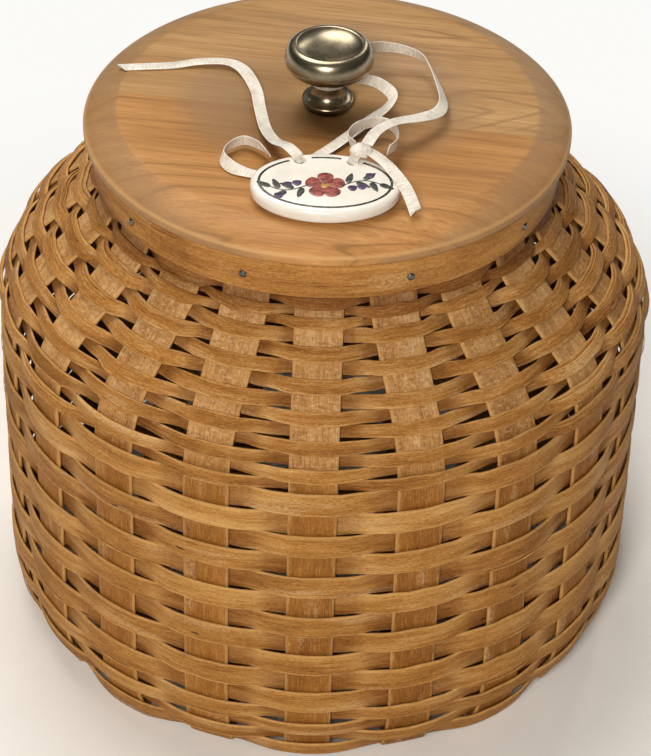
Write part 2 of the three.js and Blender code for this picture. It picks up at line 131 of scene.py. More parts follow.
# Rim, with a thin set-back lip, and the tacks through its outer band on every second upright.
RIM_THICK = 2.4 * MM
RIM_LIP_HEIGHT = 2.1 * MM
RIM_LIP_DEPTH = 0.8 * MM
TACK_RADIUS = 1.5 * MM
TACK_HEIGHT = 0.8 * MM
TACK_SHANK = 0.15 * MM
TACK_SUNK = 0.6 * MM
TACK_ABOVE_RIM_BOTTOM = 7.2 * MM
TACK_DRIFT, TACK_DRIFT_RATE = radians(3.2), 0.873  # off the middle of its upright, from tack to tack

# Lid, with a rebate that drops inside the rim.
LID_THICK = 9.2 * MM
LID_EDGE = 3.2 * MM
LID_EDGE_ROUND = 1.2 * MM
LID_BEVEL = 13.3 * MM
LID_SLOPE = radians(16)
LID_NOSE = 2.5 * MM
REBATE_PLAY = 1.5 * MM

# Knob, and the bore for its screw.
KNOB_HEIGHT = 26 * MM
KNOB_HEAD_RADIUS = 16.8 * MM
KNOB_HEAD_MIDDLE = 19.6 * MM
KNOB_BOWL_DEPTH = 8 * MM
KNOB_DISH_RADIUS = 12.5 * MM
KNOB_DISH_DEPTH = 2.8 * MM
KNOB_DISH_BLEND = 3 * MM
KNOB_NECK_RADIUS = 5.2 * MM
KNOB_NECK_BOTTOM = 7.2 * MM
KNOB_FOOT_RADIUS = 9.8 * MM
KNOB_FOOT_EDGE = 2.6 * MM
KNOB_EDGE_ROUND = 1 * MM
SCREW_BORE = 2.3 * MM
SCREW_BORE_TOP = 12 * MM

# Tag, with two tie holes and a painted face.
TAG_WIDTH, TAG_DEPTH, TAG_THICK = 54 * MM, 35 * MM, 5.6 * MM
TAG_ROUND = 1.8 * MM
TAG_TILT = radians(4)
TAG_CENTRE = (0.6 * MM, -63 * MM)
TAG_HOLE_RADIUS = 2.2 * MM
TAG_HOLE_SPACING = 19 * MM
TAG_HOLE_INSET = 5.2 * MM
OVAL_STEPS = 96
BORDER_INSET = 3.2 * MM
BORDER_ARCS = ((124, 416), (77, 103))  # degrees, broken at the tie holes
PAINT_SUNK = 0.1 * MM  # painted shapes reach this far into the glaze
PAINT_RISE = 0.03 * MM
FLOWER_Y = -1.8  # millimetres from the tag's middle

# Looks: heights on the wall, the lid's boards, and the floor.
UPPER_TONE = (0.138, 0.160)  # where the wall takes the colours of the shoulder: partly its own tone, partly painted light
CRACKED = (0.130, 0.160)  # where the uprights grow rough
RIM_SHADOW = (0.188, 0.196)  # where the wall grows dark with the rim's painted shadow
BOARD_TURN = radians(8)
BOARD_JOINT = 8 * MM  # from the lid's middle towards the front
FIGURE_TIP, FIGURE_SPACING = 68 * MM, 8.5 * MM
FIGURE_SLANT, FIGURE_ASIDE = 0.245, 8.2 * MM  # its axis: slope, and where it crosses the lid's middle
FIGURE_OPENING, FIGURE_BLUNT = 0.41, 2.2e-6  # slope of its sides, and how blunt its points are
BACKDROP_FADE = (0.13, 0.4)  # distance from the basket's axis over which the floor turns into backdrop
FLOOR_HALF = 6.0

# Ribbon and its knot.
RIBBON_WIDTH = 4.6 * MM
RIBBON_THICK = 0.35 * MM
RIBBON_STEPS = 8  # sections from one point of a route to the next
RIBBON_BOW, FOLD_BOW, FOLD_NARROW = 0.12 * MM, 0.9 * MM, 0.35
RIBBON_SLANTS = {"ribbon_left_tail": (0.7, 0.0), "ribbon_right_tail": (0.0, 0.7)}  # slopes of its cut ends
KNOT_SIZE = (8.4 * MM, 7.2 * MM, 4.8 * MM)
KNOT_PLACE = (0.013, -0.048, 0.01085)

# Routes of the ribbon over the lid's top, as in the CAD: x, y, height above the lid, and the turn of
# its face in degrees: 0 where it lies flat, 90 where it stands on its edge, more where that edge leans out.
RIBBON_ROUTES = {
    "ribbon_left_tail": [
        (-0.0804, 0.0203, 0.0004, 0), (-0.0689, 0.0216, 0.0006, 0), (-0.0605, 0.0227, 0.0007, 0),
        (-0.0498, 0.0247, 0.0016, 0), (-0.0400, 0.0245, 0.0020, 0), (-0.0345, 0.0210, 0.0020, 8),
        (-0.0309, 0.0148, 0.0018, 15), (-0.0274, 0.0047, 0.0016, 10), (-0.0255, -0.0070, 0.0016, 0),
        (-0.0227, -0.0229, 0.0030, 0), (-0.0187, -0.0352, 0.0056, 0), (-0.0140, -0.0431, 0.0088, 0),
        (-0.0104, -0.0485, 0.0090, 0),
    ],
    "ribbon_left_loop": [
        (-0.0206, -0.0419, 0.0044, 60), (-0.0244, -0.0361, 0.0039, 75), (-0.0302, -0.0325, 0.0035, 80),
        (-0.0354, -0.0363, 0.0032, 80), (-0.0377, -0.0429, 0.0030, 70), (-0.0342, -0.0481, 0.0022, 40),
        (-0.0284, -0.0501, 0.0012, 10), (-0.0225, -0.0511, 0.0007, 0),
    ],
    "ribbon_neck_strand": [
        (0.0149, -0.0443, 0.0110, 0), (0.0186, -0.0351, 0.0112, 0), (0.0252, -0.0273, 0.0104, 0),
        (0.0342, -0.0209, 0.0084, 10), (0.0410, -0.0142, 0.0066, 25), (0.0435, -0.0058, 0.0056, 40),
        (0.0422, 0.0047, 0.0056, 50), (0.0393, 0.0159, 0.0066, 60), (0.0356, 0.0237, 0.0074, 70),
        (0.0270, 0.0270, 0.0088, 80), (0.0170, 0.0256, 0.0100, 95), (0.0074, 0.0176, 0.0108, 115),
        (0.0000, 0.0104, 0.0108, 130), (-0.0054, 0.0054, 0.0108, 135), (-0.0076, 0.0000, 0.0108, 135),
        (-0.0054, -0.0054, 0.0108, 135), (0.0000, -0.0076, 0.0108, 135), (0.0054, -0.0054, 0.0108, 135),
        (0.0084, -0.0006, 0.0106, 125), (0.0132, 0.0022, 0.0098, 100), (0.0192, 0.0016, 0.0084, 75),
        (0.0242, -0.0022, 0.0060, 45), (0.0224, -0.0076, 0.0044, 20), (0.0164, -0.0148, 0.0032, 0),
        (0.0084, -0.0244, 0.0020, 0), (0.0015, -0.0328, 0.0013, 0), (-0.0054, -0.0406, 0.0009, 0),
        (-0.0084, -0.0451, 0.0008, 0),
    ],
    "ribbon_right_loop": [
        (0.0114, -0.0442, 0.0104, 75), (0.0086, -0.0385, 0.0094, 80), (0.0098, -0.0315, 0.0086, 85),
        (0.0134, -0.0259, 0.0076, 90), (0.0187, -0.0219, 0.0064, 90), (0.0239, -0.0225, 0.0054, 90),
        (0.0263, -0.0279, 0.0052, 90), (0.0258, -0.0355, 0.0060, 85), (0.0228, -0.0425, 0.0076, 80),
    ],
    "ribbon_right_tail": [
        (0.0180, -0.0493, 0.0102, 0), (0.0220, -0.0537, 0.0096, 0), (0.0254, -0.0587, 0.0088, 4),
        (0.0292, -0.0649, 0.0070, 10), (0.0316, -0.0695, 0.0044, 10), (0.0330, -0.0731, 0.0024, 5),
    ],
}
# Short ends that the solids leave out: into the tag's left hole, and out of the knot.
RIBBON_ENTRY = {"ribbon_right_tail": [(0.0146, -0.0482, 0.0116, 0)]}
RIBBON_TUCK = {"ribbon_left_tail": [(-0.0092, -0.0501, 0.0080, 0), (-0.0089, -0.0508, 0.0062, 0)]}
# From the tag's right hole up to the knot.
KNOT_TIE = [(0.0101, -0.0508, 0.0062, 0), (0.0104, -0.0502, 0.0086, 0), (0.0120, -0.0490, 0.0106, 0)]

# Places of the frame that the looks start from.
LID_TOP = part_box("lid_board")[1].z
RIM_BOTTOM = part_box("outer_rim")[0].z
RIM_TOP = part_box("outer_rim")[1].z
RIM_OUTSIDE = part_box("outer_rim")[1].x
INNER_RIM_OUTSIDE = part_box("inner_rim")[1].x


# Small geometry helpers

def radial(azimuth):
    return Vector((sin(azimuth), -cos(azimuth), 0))


def tangent(azimuth):
    return Vector((cos(azimuth), sin(azimuth), 0))


def polar(azimuth, radius, height):
    return radial(azimuth) * radius + UP * height


def wall_axes(azimuth, lean):
    """The ways out of and up a wall that leans inwards."""
    out = radial(azimuth) * cos(lean) + UP * sin(lean)
    return out, UP * cos(lean) - radial(azimuth) * sin(lean)


def add_object(name, data):
    made = bpy.data.objects.new(name, data)
    bpy.context.scene.collection.objects.link(made)
    return made


def smooth(share):
    share = min(max(share, 0.0), 1.0)
    return share * share * (3 - 2 * share)


def turns(count):
    """Angles of a whole turn in equal steps."""
    return [2 * pi * step / count for step in range(count)]


def directions(points):
    """The way that a line through points runs at each of them."""
    after, before = points[1:] + points[-1:], points[:1] + points[:-1]
    return [(a - b).normalized() for a, b in zip(after, before)]


class Station(NamedTuple):
    """One cross-section of a flat strip. bow is how far its edges fall back from its middle line."""
    centre: Vector
    across: Vector
    out: Vector
    width: float
    bow: float = 0.0
    stand: float = 1.0


def strip_outline(width, thick):
    """Corners of a flat strip with eased edges, as (across, out), with rows beside each edge that keep
    its faces flat."""
    half, deep, ease = width / 2, thick / 2, 0.32 * thick
    run = (ease - half, 3 * ease - half, 0.0, half - 3 * ease, half - ease)
    below = [(v, -deep) for v in run] + [(half, ease - deep), (half, deep - ease)]
    return below + [(-v, -t) for v, t in below]


class Skin:
    """Collects runs of rings and makes one piece of them, with two maps. Grain holds the distance along
    and across a strip. Wear_and_shade holds how far the strip stands out, 0 to 1, and how near its edge a
    point is; the wood takes worn patches, painted shade and a painted edge highlight from it."""

    def __init__(self, weld=False):
        self.points, self.faces, self.grain, self.wear_and_shade = [], [], [], []
        self.weld = weld

    def run(self, rings, closed=False, along=None, across=None, stand=None, edge=None):
        """Adds the faces between rings of points. A run that isn't closed gets a cap at each end."""
        rings = list(rings)
        first, count, around = len(self.points), len(rings), len(rings[0])
        along = along or [0.0] * (count + 1)
        stand = stand or [1.0] * (count + 1)
        across = across or [0.0] * (around + 1)
        edge = edge or [0.0] * (around + 1)

        def face(*corners):
            self.faces.append([first + ring % count * around + side % around for ring, side in corners])
            for ring, side in corners:
                self.grain += [along[ring], across[side]]
                self.wear_and_shade += [stand[ring], edge[side]]

        self.points += [tuple(p) for ring in rings for p in ring]
        for here in range(count if closed else count - 1):
            for side in range(around):
                face((here, side), (here, side + 1), (here + 1, side + 1), (here + 1, side))
        if not closed:
            face(*((0, side) for side in reversed(range(around))))
            face(*((count - 1, side) for side in range(around)))

    def strip(self, stations, thick, closed=False, start=0.0, slants=(0.0, 0.0)):
        """Adds a flat strip and gives its length. start is where in the grain it begins, so that no two
        strips look alike, and slants cut its two ends on the slant."""
        stations = list(stations)
        rings, along = [], [start]
        for number, at in enumerate(stations):
            slant = slants[0] if number == 0 else slants[1] if number == len(stations) - 1 else 0.0
            ahead = at.out.cross(at.across) * slant
            ring = []
            for v, t in strip_outline(at.width, thick):
                fall = at.bow * (2 * v / at.width) ** 2
                ring.append(at.centre + at.across * v + at.out * (t - fall) + ahead * v)
            rings.append(ring)
        following = stations[1:] + (stations[:1] if closed else [])
        for here, there in zip(stations, following):
            along.append(along[-1] + (there.centre - here.centre).length)
        outline = strip_outline(stations[0].width, thick)
        across = [v for v, _ in outline + outline[:1]]
        edge = [2 * v / stations[0].width for v in across]
        stand = [at.stand for at in stations + stations[:1]]
        self.run(rings, closed, along, across, stand, edge)
        return along[-1] - start

    def piece(self, name, finish, body, slot, *nodes):
        """Makes a piece that rides on a body, wears a finish and stands for CAD nodes."""
        mesh = bpy.data.meshes.new(name)
        mesh.from_pydata(self.points, [], self.faces)
        mesh.uv_layers.new(name="Grain").uv.foreach_set("vector", self.grain)
        mesh.uv_layers.new(name="Wear_and_shade").uv.foreach_set("vector", self.wear_and_shade)
        mesh.polygons.foreach_set("use_smooth", [True] * len(mesh.polygons))
        if self.weld:
            work = bmesh.new()
            work.from_mesh(mesh)
            bmesh.ops.remove_doubles(work, verts=work.verts, dist=1e-7)
            bmesh.ops.dissolve_degenerate(work, edges=work.edges, dist=1e-7)
            bmesh.ops.recalc_face_normals(work, faces=work.faces)
            work.to_mesh(mesh)
            work.free()
        mesh.materials.append(finish)
        made = add_object(name, mesh)
        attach(made, body)
        if nodes:
            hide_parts(*nodes)
        return made


def lathe(outline, facets, grain_radius=0.0):
    """A solid of revolution about Z from (radius, height) points, closed on itself or on the axis.
    Its ring starts at the back."""
    rings = [[polar(pi + turn, r, z) for r, z in outline] for turn in turns(facets)]
    along = [grain_radius * 2 * pi * step / facets for step in range(facets + 1)]
    across = [0.0]
    for a, b in zip(outline, outline[1:] + outline[:1]):
        across.append(across[-1] + dist(a, b))
    skin = Skin(weld=True)
    skin.run(rings, True, along, across)
    return skin


def arc(start, control, end, steps):
    """Points of a quadratic curve from start, which is left out, to end."""
    a, b, c = Vector(start), Vector(control), Vector(end)
    shares = [step / steps for step in range(1, steps + 1)]
    return [tuple(a * (1 - t) ** 2 + b * (2 * t * (1 - t)) + c * t * t) for t in shares]


def rounded(points, radii):
    """The outline through points with each corner rounded by an arc-like curve of its own radius."""
    made = []
    for here, radius in enumerate(radii):
        before, p, after = (Vector(points[at % len(points)]) for at in (here - 1, here, here + 1))
        start = p + (before - p).normalized() * radius
        end = p + (after - p).normalized() * radius
        made += [tuple(start)] + arc(start, p, end, 4) if radius else [tuple(p)]
    return made


def curve_points(points, steps):
    """A smooth curve through rows of numbers, with steps from one row to the next."""
    rows = np.array(points, float)
    padded = np.vstack([2 * rows[0] - rows[1], rows, 2 * rows[-1] - rows[-2]])
    made = []
    for a, b, c, d in zip(padded, padded[1:], padded[2:], padded[3:]):
        for t in np.arange(steps) / steps:
            made.append(0.5 * (2 * b + (c - a) * t + (2 * a - 5 * b + 4 * c - d) * t ** 2
                               + (3 * b - a - 3 * c + d) * t ** 3))
    return made + [rows[-1]]


# Materials

def linear(code):
    """A colour written as it looks, #rrggbb, in the linear numbers that shaders take."""
    channels = [int(code[at:at + 2], 16) / 255 for at in (1, 3, 5)]
    return tuple(c / 12.92 if c <= 0.04045 else ((c + 0.055) / 1.055) ** 2.4 for c in channels) + (1.0,)


class Value:
    """A value in a shader. Sums, products and the calls here add the nodes that work them out."""

    def __init__(self, finish, socket):
        self.finish, self.socket = finish, socket

    def maths(self, operation, other=0.5):
        return self.finish.node("Math", 0, {0: self, 1: other}, operation=operation)

    def __add__(self, other):
        return self.maths("ADD", other)

    def __sub__(self, other):
        return self.maths("SUBTRACT", other)

    def __mul__(self, other):
        return self.maths("MULTIPLY", other)

    def __abs__(self):
        return self.maths("ABSOLUTE")

    def split(self):
        parts = self.finish.node("SeparateXYZ", 0, {0: self}).socket.node.outputs
        return [Value(self.finish, part) for part in parts]

    def stretch(self, x, y, z=1.0):
        return self.finish.node("VectorMath", 0, {0: self, 1: (x, y, z)}, operation="MULTIPLY")

    def noise(self, scales, detail=2.0, roughness=0.5, distortion=0.0):
        """Noise at a place, with its own scale along each axis."""
        inputs = {"Vector": self.stretch(*scales), "Scale": 1.0, "Detail": detail,
                  "Roughness": roughness, "Distortion": distortion}
        return self.finish.node("TexNoise", "Fac", inputs)

    def between(self, low, high):
        """0 where it is short of low, 1 where it is past high."""
        inputs = {"Value": self, "From Min": low, "From Max": high, "To Min": 0.0, "To Max": 1.0}
        return self.finish.node("MapRange", 0, inputs, interpolation_type="SMOOTHSTEP")

    def mix(self, a, b, kind="MIX"):
        """a where it is 0, b where it is 1."""
        return self.finish.node("Mix", 2, {0: self, 6: a, 7: b}, data_type="RGBA", blend_type=kind)

    def ramp(self, places, colours):
        made = self.finish.node("ValToRGB", "Color", {"Fac": self})
        elements = made.socket.node.color_ramp.elements
        for _ in places[2:]:
            elements.new(0.5)
        for element, place, colour in zip(elements, places, colours):
            element.position = place
            element.color = linear(colour)
        return made


class Finish:
    """A material with one shader and short calls for what feeds it."""

    def __init__(self, name, **sockets):
        self.material = bpy.data.materials.new(name)
        self.material.use_nodes = True
        self.tree = self.material.node_tree
        self.shader = self.tree.nodes["Principled BSDF"]
        for key, value in sockets.items():
            self.shader.inputs[key.replace("_", " ")].default_value = value

    def feed(self, value, socket):
        if isinstance(value, Value):
            self.tree.links.new(value.socket, socket)
        else:
            socket.default_value = value

    def node(self, kind, output, inputs=None, **settings):
        """Adds a node and gives one of its outputs."""
        made = self.tree.nodes.new("ShaderNode" + kind)
        for key, value in settings.items():
            setattr(made, key, value)
        for key, value in (inputs or {}).items():
            self.feed(value, made.inputs[key])
        return Value(self, made.outputs[output])

    def place(self):
        return self.node("TexCoord", "Object")

    def map(self, name):
        return self.node("UVMap", 0, uv_map=name)

    def colour(self, value):
        self.base = value
        self.feed(value, self.shader.inputs["Base Color"])

    def tint(self, mask, colour, kind="MIX"):
        """Lays a colour over the one so far, by the mask."""
        self.colour(mask.mix(self.base, linear(colour), kind))

    def rough(self, value):
        self.feed(value, self.shader.inputs["Roughness"])

    def bump(self, height, strength, distance):
        inputs = {"Height": height, "Strength": strength, "Distance": distance}
        self.feed(self.node("Bump", 0, inputs), self.shader.inputs["Normal"])


def splint_wood(name, colours, upper_colours=None, fuzz=0.0, cracks=0.0, knots=False, shaded=0.6):
    """Thin split wood: streaks and fibres along the strip, a tone of its own for each strip, paler at worn
    edges, which also carry a painted highlight, and where it turns to dive under; painted shade darkens it
    behind the uprights and, by the share shaded, a painted shadow darkens it where it meets the rim.
    upper_colours are its colours on the shoulder, paler partly from weathering and partly as painted light."""
    wood = Finish(name, Specular_IOR_Level=0.18)
    place, (stand, edge, _) = wood.map("Grain"), wood.map("Wear_and_shade").split()
    height = wood.place().split()[2]
    fibre = place.noise((130, 1900), 4.0, 0.75)
    streak = place.noise((24, 420), 4.0, 0.6, 0.4)
    blotch = place.noise((34, 90), 3.0, 0.6)
    tone = place.noise((2.2, 1.0), 1.0)
    mottle = place.noise((640, 1150), 3.0, 0.7)
    fleck = fibre.between(0.34, 0.66)
    total = streak * 0.17 + fleck * 0.08 + blotch * 0.24 + tone * 0.28 + mottle * 0.25
    places = (0.40, 0.51, 0.63)
    wood.colour(total.ramp(places, colours))
    # The shoulder's paler colours: partly the wood's own weathering, partly painted light where the wall
    # faces up and painted shade on the belly's uprights.
    if upper_colours:
        wood.colour(height.between(*UPPER_TONE).mix(wood.base, total.ramp(places, upper_colours)))
    hair = place.noise((170, 1700, 3.0), 4.0, 0.75)
    wood.tint(hair.between(0.52, 0.68) * fuzz, "#d6aa70")
    if cracks:
        crack = place.noise((900, 330), 3.0, 0.7)
        share = height.between(*CRACKED) * cracks
        wood.tint(crack.between(0.53, 0.66) * share, "#dfb98d")
        wood.tint(crack.between(0.44, 0.34) * share, "#84572b")
    scuff = place.noise((17, 75), 3.0, 0.6).between(0.55, 0.67)
    wood.tint(scuff * mottle.between(0.38, 0.6) * 0.5, "#cfae83")
    pit = place.noise((260, 1300), 1.0).between(0.68, 0.75)
    wood.tint(pit * 0.5, "#74461b")
    # Paler edges: worn, and partly a painted highlight along the strip's edges.
    near_edge = (abs(edge) + hair * 0.35).between(1.0, 1.18)
    wood.tint(near_edge * 0.6, "#d0a263")
    wood.tint(stand.between(0.92, 0.6) * blotch.between(0.42, 0.58) * 0.14, "#d9b27a")
    # Painted shade where the strip passes under an upright.
    wood.tint(stand.between(0.62, 0.1) * 0.45, "#96642c", "MULTIPLY")
    # Painted shadow of the rim over the top of the wall.
    wood.tint(height.between(*RIM_SHADOW) * shaded, "#8a6036", "MULTIPLY")
    if knots:
        cells = {"Vector": place.stretch(26, 70), "Scale": 1.0}
        spot = wood.node("TexVoronoi", "Distance", cells, voronoi_dimensions="2D") + mottle * 0.06
        pick = wood.node("TexVoronoi", "Color", cells, voronoi_dimensions="2D")
        pick = wood.node("SeparateColor", 0, {0: pick})
        wood.tint(spot.between(0.10, 0.06) * pick.between(0.955, 0.96), "#45260f")
    wood.rough(fibre * 0.24 + 0.48)
    wood.bump(fibre + streak * 0.6 + hair * 0.8, 0.8, 0.4 * MM)
    return wood.material


def pointed_figure(along, side, streak):
    """A mask of nested points of grain about a slanted axis, which fade away from it and towards one end."""
    off = side - (along * FIGURE_SLANT - FIGURE_ASIDE)
    bend = (off * off + FIGURE_BLUNT).maths("SQRT")
    figure = (along - FIGURE_TIP) * FIGURE_OPENING + bend + streak * (3 * MM)
    lines = (figure * (2 * pi / FIGURE_SPACING)).maths("COSINE").between(0.55, 1.0)
    return lines * bend.between(20 * MM, 9 * MM) * along.between(8 * MM, 40 * MM)


def board_wood():
    """The lid's varnished boards: long faint lines, a pointed figure near one side, a glued joint, and a
    darker tone where the slope shows the ends of the grain."""
    wood = Finish("lid_board_wood", Specular_IOR_Level=0.3)
    turned = {"Vector": wood.place(), "Angle": BOARD_TURN}
    place = wood.node("VectorRotate", 0, turned, rotation_type="Z_AXIS")
    along, side, _ = place.split()
    joint = side + BOARD_JOINT
    back = joint.maths("GREATER_THAN", 0.0)
    shift = wood.node("CombineXYZ", 0, {0: back * 3.7, 2: back * 1.3})
    moved = wood.node("VectorMath", 0, {0: place, 1: shift}, operation="ADD")
    drift = moved.noise((6, 24, 8), 2.0)
    growth = moved.noise((3.2, 30, 20), 1.5, 0.45)
    rings = (growth * 11.0).maths("PINGPONG", 0.5)
    fibre = moved.noise((60, 1600, 1600), 3.0, 0.6)
    streak = moved.noise((10, 170, 170), 4.0, 0.6)
    line = moved.noise((13, 560, 560), 3.0, 0.65)
    total = rings * 0.10 + fibre * 0.24 + line * 0.22 + streak * 0.22 + drift * 0.22
    places = (0.38, 0.50, 0.62)
    front_tone = total.ramp(places, ("#966535", "#b37f46", "#c9965c"))
    back_tone = total.ramp(places, ("#8e6a3f", "#ae8553", "#c39c6a"))
    wood.colour(back.mix(front_tone, back_tone))
    wood.tint(pointed_figure(along, side, streak) * back * 0.45, "#7d5c36")
    wood.tint(rings.between(0.08, 0.0) * drift.between(0.40, 0.62) * 0.6, "#7a552c")
    dash = moved.noise((42, 640, 640), 2.0).between(0.60, 0.72)
    wood.tint(dash * 0.55, "#8f6234")
    pores = moved.noise((130, 1500, 1500), 1.0).between(0.65, 0.74)
    wood.tint(pores * 0.5, "#8a5c2e")
    wood.tint(abs(joint).between(0.35 * MM, 0.1 * MM) * 0.25, "#8a5c2e")
    sideways, _, upwards = wood.node("NewGeometry", "Normal").split()
    wood.tint(abs(sideways).between(0.15, 0.30) * 0.6, "#957553")
    # Painted highlight along the lid's rounded edge.
    wood.tint(upwards.between(0.84, 0.74) * upwards.between(0.2, 0.45) * 0.4, "#d8ac72")
    wood.rough(streak * 0.16 + 0.44)
    wood.bump(fibre + streak * 0.5, 0.08, 0.2 * MM)
    return wood.material


def polished_metal(name, colour, dull, polish, scratch):
    """Plated metal: fine scratches round the turning axis and a faint tarnish."""
    metal = Finish(name, Metallic=1.0)
    tarnish = metal.place().noise((160, 160, 160), 3.0)
    lines = metal.place().noise((500, 500, 9000), 2.0)
    metal.colour(tarnish.ramp((0.3, 0.65), (dull, colour)))
    metal.rough(lines * scratch + polish)
    metal.bump(lines, 0.03, 0.05 * MM)
    return metal.material


def glaze():
    finish = Finish("tag_glaze", Specular_IOR_Level=0.5, Coat_Weight=0.5, Coat_Roughness=0.06)
    pooled = finish.place().noise((130, 130, 130), 3.0)
    finish.colour(pooled.ramp((0.3, 0.7), ("#e6dfd3", "#f1ece3")))
    finish.rough(pooled * 0.12 + 0.14)
    finish.bump(pooled, 0.10, 0.4 * MM)
    return finish.material


def paint(name, dark, light):
    """Painted glaze that thins towards its brush strokes."""
    finish = Finish(name, Specular_IOR_Level=0.5, Coat_Weight=0.5, Coat_Roughness=0.08)
    stroke = finish.place().noise((420, 760, 420), 3.0)
    finish.colour(stroke.ramp((0.35, 0.68), (dark, light)))
    finish.rough(stroke * 0.15 + 0.2)
    return finish.material


def satin():
    """Satin ribbon: fine threads across it, a firmer selvedge and a soft sheen."""
    finish = Finish("ribbon_satin", Specular_IOR_Level=0.45, Sheen_Weight=0.2, Sheen_Roughness=0.4,
                    Subsurface_Weight=0.06, Subsurface_Radius=(0.004, 0.003, 0.002), Subsurface_Scale=0.3)
    place, (_, edge, _) = finish.map("Grain"), finish.map("Wear_and_shade").split()
    thread = place.noise((1500, 220), 2.0)
    cloud = place.noise((90, 160), 2.0)
    finish.colour((thread * 0.5 + cloud * 0.5).ramp((0.34, 0.62), ("#c3b8a8", "#efe9de")))
    finish.tint(abs(edge).between(0.78, 0.9) * 0.5, "#f1eadf")
    finish.rough(thread * 0.2 + 0.36)
    finish.bump(thread, 0.35, 0.15 * MM)
    return finish.material


def pale_floor():
    """A pale floor that takes the basket's shadow and fades into a plain pale backdrop away from it."""
    finish = Finish("pale_floor", Roughness=0.9, Specular_IOR_Level=0.1)
    grain = finish.place().noise((40, 40, 40), 3.0)
    finish.colour(grain.ramp((0.3, 0.7), ("#f0eeea", "#f4f2ee")))
    away = finish.node("VectorMath", "Value", {0: finish.place()}, operation="LENGTH")
    camera, glossy, through = (finish.node("LightPath", f"Is {kind} Ray")
                               for kind in ("Camera", "Glossy", "Transmission"))
    share = camera.maths("MAXIMUM", glossy).maths("MAXIMUM", through) * away.between(*BACKDROP_FADE)
    backdrop = finish.node("Emission", 0, {"Color": linear("#fbfaf7"), "Strength": 1.0})
    surface = Value(finish, finish.shader.outputs[0])
    both = finish.node("MixShader", 0, {0: share, 1: surface, 2: backdrop})
    finish.feed(both, finish.tree.nodes["Material Output"].inputs["Surface"])
    return finish.material


# Camera

def make_camera():
    away, right = radial(CAMERA_AZIMUTH), tangent(CAMERA_AZIMUTH)
    forward = -away * cos(CAMERA_DOWN) - UP * sin(CAMERA_DOWN)
    above = right.cross(forward)
    c, s = cos(CAMERA_ROLL), sin(CAMERA_ROLL)
    axes = Matrix((right * c + above * s, above * c - right * s, -forward)).transposed()
    lens = bpy.data.cameras.new("camera")
    longest = max(PHOTO_SIZE)
    lens.sensor_width = SENSOR
    lens.lens = FOCAL_PIXELS * SENSOR / longest
    lens.shift_x = (PHOTO_SIZE[0] / 2 - OPTICAL_CENTRE[0]) / longest
    lens.shift_y = (OPTICAL_CENTRE[1] - PHOTO_SIZE[1] / 2) / longest
    camera = add_object("camera", lens)
    camera.matrix_world = Matrix.Translation(away * CAMERA_DISTANCE + UP * CAMERA_HEIGHT) @ axes.to_4x4()
    bpy.context.scene.camera = camera


# Ribbon

def ribbon_stations(route, tuck=0):
    """Stations along a route over the lid. The last tuck points of the route are folded narrow."""
    rows = curve_points(route, RIBBON_STEPS)
    centres = [Vector((x, y, LID_TOP + h)) for x, y, h, _ in rows]
    for here, along in enumerate(directions(centres)):
        out = (UP - along * UP.dot(along)).normalized()
        out.rotate(Matrix.Rotation(radians(rows[here][3]), 3, along))
        folded = smooth(1 - (len(rows) - 1 - here) / (tuck * RIBBON_STEPS)) if tuck else 0.0
        width = RIBBON_WIDTH * (1 - FOLD_NARROW * folded)
        yield Station(centres[here], out.cross(along), out, width, RIBBON_BOW + FOLD_BOW * folded)


def ribbon(name, finish, body):
    """A satin strip along its route. Free ends are cut on the slant."""
    tuck = RIBBON_TUCK.get(name, [])
    route = RIBBON_ENTRY.get(name, []) + RIBBON_ROUTES[name] + tuck
    stations = list(ribbon_stations(route, len(tuck)))
    skin = Skin()
    slants = RIBBON_SLANTS.get(name, (0.0, 0.0))
    length = skin.strip(stations, RIBBON_THICK, start=len(name) * 0.37, slants=slants)
    piece = skin.piece(name + "_satin", finish, body, "ribbon_satin", name)
    path = [at.centre for at in stations]
    if name == "ribbon_left_tail":  # its route starts at the free end
        path.reverse()
    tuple(path[0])


def knot_lump(middle, long, deep, high):
    """Rings of a gathered lump, creased along its length."""
    for step in range(1, 20):
        lean = pi * step / 20
        ring = []
        for turn in turns(28):
            swell = sin(lean) * (0.86 + 0.10 * cos(4 * turn + 2 * lean) * sin(lean))
            deeper, higher = cos(turn) * deep * swell, sin(turn) * high * swell
            ring.append(middle + Vector((-cos(lean) * long, deeper, higher)))
        yield ring


def knot_turn(middle, deep, high):
    """Stations of one tight turn of ribbon round the lump, a little twisted."""
    tight = 0.93
    for turn in turns(32):
        out = Vector((0.25 * sin(turn), cos(turn), sin(turn))).normalized()
        across = Vector((1, 0.25, 0.1 * cos(2 * turn)))
        across = (across - out * across.dot(out)).normalized()
        sway = 0.4 * MM * sin(2 * turn)
        centre = middle + Vector((sway, cos(turn) * deep * tight, sin(turn) * high * tight))
        yield Station(centre, across, out, RIBBON_WIDTH * 0.85, 0.45 * MM)


def ribbon_knot(finish):
    """The knot: a gathered lump, one turn of ribbon pulled tight round it, and the end from the tag."""
    skin = Skin()
    middle = Vector(KNOT_PLACE) + UP * LID_TOP
    long, deep, high = (size / 2 for size in KNOT_SIZE)
    lump = list(knot_lump(middle, long, deep, high))
    along = [0.6 * MM * n for n in range(len(lump) + 1)]
    across = [0.5 * MM * n for n in range(len(lump[0]) + 1)]
    skin.run(lump, along=along, across=across)
    skin.strip(knot_turn(middle, deep, high), RIBBON_THICK, closed=True, start=3.1)
    skin.strip(ribbon_stations(KNOT_TIE), RIBBON_THICK, start=5.3)
    skin.piece("ribbon_knot_tied", finish, "lid", "ribbon_satin", "ribbon_knot")


# Wall: the middle line of the uprights, from the foot to the neck

class Row(NamedTuple):
    pitch: float
    splint: float
    lean: float


